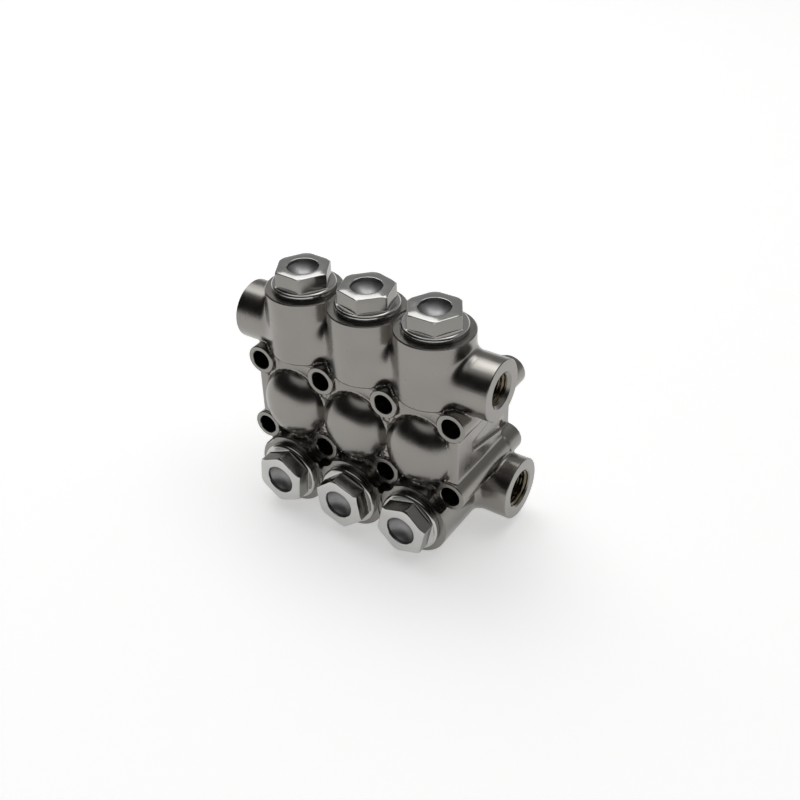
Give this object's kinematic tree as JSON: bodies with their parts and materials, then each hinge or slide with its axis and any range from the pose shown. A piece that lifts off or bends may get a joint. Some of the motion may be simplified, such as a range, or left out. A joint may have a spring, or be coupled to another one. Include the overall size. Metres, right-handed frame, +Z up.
{
  "type": "triplex pump manifold head",
  "caption": "Nickel-plated valve block of a triplex plunger pump: discharge towers, suction barrels, hex valve caps, spring poppet valves and side ports.",
  "frame": {"origin": "centre of the bolt grid on the crankcase face, on the middle plunger's axis", "axes": "+X across the cylinders, +Y into the crankcase, +Z up along the discharge towers"},
  "size_m": [0.1564, 0.0791, 0.1398],
  "materials": {
    "body_nickel": "nickel-plated forging, satin",
    "cap_nickel": "nickel-plated, turned and bright",
    "carrier_brass": "turned",
    "stainless": "ground",
    "spring_steel": "drawn wire",
    "cage_plastic": "moulded",
    "seal_rubber": "smooth",
    "packing_rubber": "fabric-reinforced"
  },
  "bodies": {
    "head": {"manifold_body": "body_nickel", "discharge_cap_1": "cap_nickel", "discharge_cap_2": "cap_nickel", "discharge_cap_3": "cap_nickel", "discharge_cap_oring_1": "seal_rubber", "discharge_cap_oring_2": "seal_rubber", "discharge_cap_oring_3": "seal_rubber", "discharge_seat_1": "stainless", "discharge_seat_2": "stainless", "discharge_seat_3": "stainless", "discharge_seat_oring_1": "seal_rubber", "discharge_seat_oring_2": "seal_rubber", "discharge_seat_oring_3": "seal_rubber", "discharge_cage_1": "cage_plastic", "discharge_cage_2": "cage_plastic", "discharge_cage_3": "cage_plastic", "discharge_spring_1": "spring_steel", "discharge_spring_2": "spring_steel", "discharge_spring_3": "spring_steel", "suction_cap_1": "cap_nickel", "suction_cap_2": "cap_nickel", "suction_cap_3": "cap_nickel", "suction_cap_oring_1": "seal_rubber", "suction_cap_oring_2": "seal_rubber", "suction_cap_oring_3": "seal_rubber", "suction_seat_1": "stainless", "suction_seat_2": "stainless", "suction_seat_3": "stainless", "suction_seat_oring_1": "seal_rubber", "suction_seat_oring_2": "seal_rubber", "suction_seat_oring_3": "seal_rubber", "suction_cage_1": "cage_plastic", "suction_cage_2": "cage_plastic", "suction_cage_3": "cage_plastic", "suction_spring_1": "spring_steel", "suction_spring_2": "spring_steel", "suction_spring_3": "spring_steel", "main_packing_1": "packing_rubber", "main_packing_2": "packing_rubber", "main_packing_3": "packing_rubber", "packing_carrier_1": "carrier_brass", "packing_carrier_2": "carrier_brass", "packing_carrier_3": "carrier_brass", "rear_seal_1": "seal_rubber", "rear_seal_2": "seal_rubber", "rear_seal_3": "seal_rubber"},
    "discharge_poppet_1_body": {"discharge_poppet_1": "stainless"},
    "discharge_poppet_2_body": {"discharge_poppet_2": "stainless"},
    "discharge_poppet_3_body": {"discharge_poppet_3": "stainless"},
    "suction_poppet_1_body": {"suction_poppet_1": "stainless"},
    "suction_poppet_2_body": {"suction_poppet_2": "stainless"},
    "suction_poppet_3_body": {"suction_poppet_3": "stainless"}
  },
  "joints": [
    {"name": "discharge_poppet_1_lift", "type": "slide", "parent": "head", "child": "discharge_poppet_1_body", "axis": [0, 0, 1], "range_m": [0, 0.003], "stiffness_N_per_m": 900, "springref_m": -0.004, "deforming": ["discharge_spring_1"]},
    {"name": "discharge_poppet_2_lift", "type": "slide", "parent": "head", "child": "discharge_poppet_2_body", "axis": [0, 0, 1], "range_m": [0, 0.003], "stiffness_N_per_m": 900, "springref_m": -0.004, "deforming": ["discharge_spring_2"]},
    {"name": "discharge_poppet_3_lift", "type": "slide", "parent": "head", "child": "discharge_poppet_3_body", "axis": [0, 0, 1], "range_m": [0, 0.003], "stiffness_N_per_m": 900, "springref_m": -0.004, "deforming": ["discharge_spring_3"]},
    {"name": "suction_poppet_1_lift", "type": "slide", "parent": "head", "child": "suction_poppet_1_body", "axis": [0, -1, 0], "range_m": [0, 0.003], "stiffness_N_per_m": 900, "springref_m": -0.004, "deforming": ["suction_spring_1"]},
    {"name": "suction_poppet_2_lift", "type": "slide", "parent": "head", "child": "suction_poppet_2_body", "axis": [0, -1, 0], "range_m": [0, 0.003], "stiffness_N_per_m": 900, "springref_m": -0.004, "deforming": ["suction_spring_2"]},
    {"name": "suction_poppet_3_lift", "type": "slide", "parent": "head", "child": "suction_poppet_3_body", "axis": [0, -1, 0], "range_m": [0, 0.003], "stiffness_N_per_m": 900, "springref_m": -0.004, "deforming": ["suction_spring_3"]}
  ]
}
